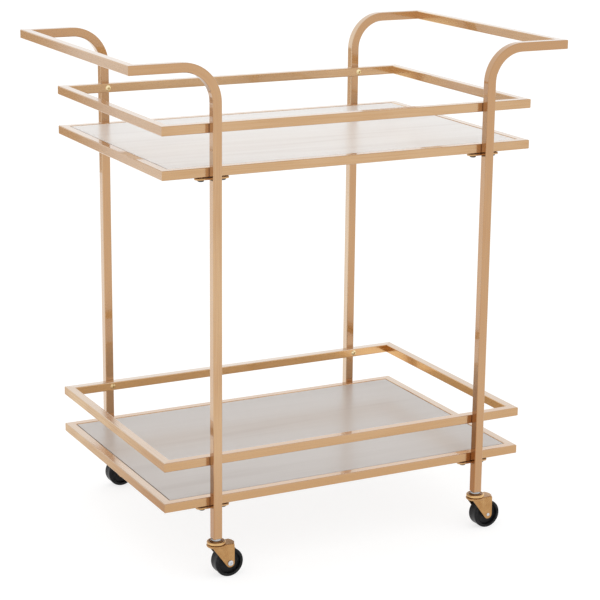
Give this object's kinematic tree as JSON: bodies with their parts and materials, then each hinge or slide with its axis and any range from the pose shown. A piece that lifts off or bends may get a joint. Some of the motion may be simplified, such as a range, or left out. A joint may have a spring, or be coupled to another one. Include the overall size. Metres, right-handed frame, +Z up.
{
  "type": "bar cart",
  "caption": "Rolling bar cart in square metal tube with framed wood-effect shelves, guard rails, push handles at both ends and swivel casters.",
  "frame": {"origin": "on the floor under the centre of the cart", "axes": "+Z up, +X along the length towards the right-hand handle, -Y the front"},
  "size_m": [0.824, 0.522, 0.882],
  "materials": {
    "frame_gold": "satin champagne-gold lacquer, fine brushed look",
    "caster_gold": "satin gold-plated pressed steel",
    "screw_gold": "satin gold-plated steel",
    "dark_steel": "black-oxide steel",
    "zinc_steel": "bright zinc-plated steel",
    "shelf_board": "semi-gloss white-grey wood-effect laminate",
    "wheel_black": "moulded black plastic, slight sheen"
  },
  "bodies": {
    "root": {"leg_front_left": "frame_gold", "leg_front_right": "frame_gold", "leg_rear_left": "frame_gold", "leg_rear_right": "frame_gold", "handle_bar_left": "frame_gold", "handle_bar_right": "frame_gold", "upper_shelf_rail_front": "frame_gold", "upper_shelf_rail_rear": "frame_gold", "upper_shelf_rail_left": "frame_gold", "upper_shelf_rail_right": "frame_gold", "lower_shelf_rail_front": "frame_gold", "lower_shelf_rail_rear": "frame_gold", "lower_shelf_rail_left": "frame_gold", "lower_shelf_rail_right": "frame_gold", "upper_guard_rail_front": "frame_gold", "upper_guard_rail_rear": "frame_gold", "upper_guard_rail_left": "frame_gold", "upper_guard_rail_right": "frame_gold", "lower_guard_rail_front": "frame_gold", "lower_guard_rail_rear": "frame_gold", "lower_guard_rail_left": "frame_gold", "lower_guard_rail_right": "frame_gold", "upper_panel": "shelf_board", "lower_panel": "shelf_board", "upper_panel_tabs": "frame_gold", "lower_panel_tabs": "frame_gold", "upper_panel_screws": "zinc_steel", "lower_panel_screws": "zinc_steel", "upper_leg_brackets": "frame_gold", "lower_leg_brackets": "frame_gold", "upper_rivet_nuts": "dark_steel", "lower_rivet_nuts": "dark_steel", "upper_bracket_screws": "dark_steel", "lower_bracket_screws": "dark_steel", "upper_guard_screws": "screw_gold", "lower_guard_screws": "screw_gold", "leg_inserts": "zinc_steel", "caster_balls": "zinc_steel", "caster_stem_front_left": "zinc_steel", "caster_stem_front_right": "zinc_steel", "caster_stem_rear_left": "zinc_steel", "caster_stem_rear_right": "zinc_steel", "caster_cup_front_left": "caster_gold", "caster_cup_front_right": "caster_gold", "caster_cup_rear_left": "caster_gold", "caster_cup_rear_right": "caster_gold"},
    "swivel_front_left": {"caster_fork_front_left": "caster_gold", "caster_axle_front_left": "zinc_steel"},
    "wheel_front_left": {"caster_wheel_front_left": "wheel_black"},
    "swivel_front_right": {"caster_fork_front_right": "caster_gold", "caster_axle_front_right": "zinc_steel"},
    "wheel_front_right": {"caster_wheel_front_right": "wheel_black"},
    "swivel_rear_left": {"caster_fork_rear_left": "caster_gold", "caster_axle_rear_left": "zinc_steel"},
    "wheel_rear_left": {"caster_wheel_rear_left": "wheel_black"},
    "swivel_rear_right": {"caster_fork_rear_right": "caster_gold", "caster_axle_rear_right": "zinc_steel"},
    "wheel_rear_right": {"caster_wheel_rear_right": "wheel_black"}
  },
  "joints": [
    {"name": "swivel_front_left", "type": "hinge", "parent": "root", "child": "swivel_front_left", "pos_m": [-0.259, -0.244, 0.058], "axis": [0, 0, 1], "continuous": true},
    {"name": "roll_front_left", "type": "hinge", "parent": "swivel_front_left", "child": "wheel_front_left", "pos_m": [-0.239, -0.244, 0.0255], "axis": [0, 1, 0], "continuous": true},
    {"name": "swivel_front_right", "type": "hinge", "parent": "root", "child": "swivel_front_right", "pos_m": [0.259, -0.244, 0.058], "axis": [0, 0, 1], "continuous": true},
    {"name": "roll_front_right", "type": "hinge", "parent": "swivel_front_right", "child": "wheel_front_right", "pos_m": [0.279, -0.244, 0.0255], "axis": [0, 1, 0], "continuous": true},
    {"name": "swivel_rear_left", "type": "hinge", "parent": "root", "child": "swivel_rear_left", "pos_m": [-0.259, 0.244, 0.058], "axis": [0, 0, 1], "continuous": true},
    {"name": "roll_rear_left", "type": "hinge", "parent": "swivel_rear_left", "child": "wheel_rear_left", "pos_m": [-0.239, 0.244, 0.0255], "axis": [0, 1, 0], "continuous": true},
    {"name": "swivel_rear_right", "type": "hinge", "parent": "root", "child": "swivel_rear_right", "pos_m": [0.259, 0.244, 0.058], "axis": [0, 0, 1], "continuous": true},
    {"name": "roll_rear_right", "type": "hinge", "parent": "swivel_rear_right", "child": "wheel_rear_right", "pos_m": [0.279, 0.244, 0.0255], "axis": [0, 1, 0], "continuous": true}
  ]
}
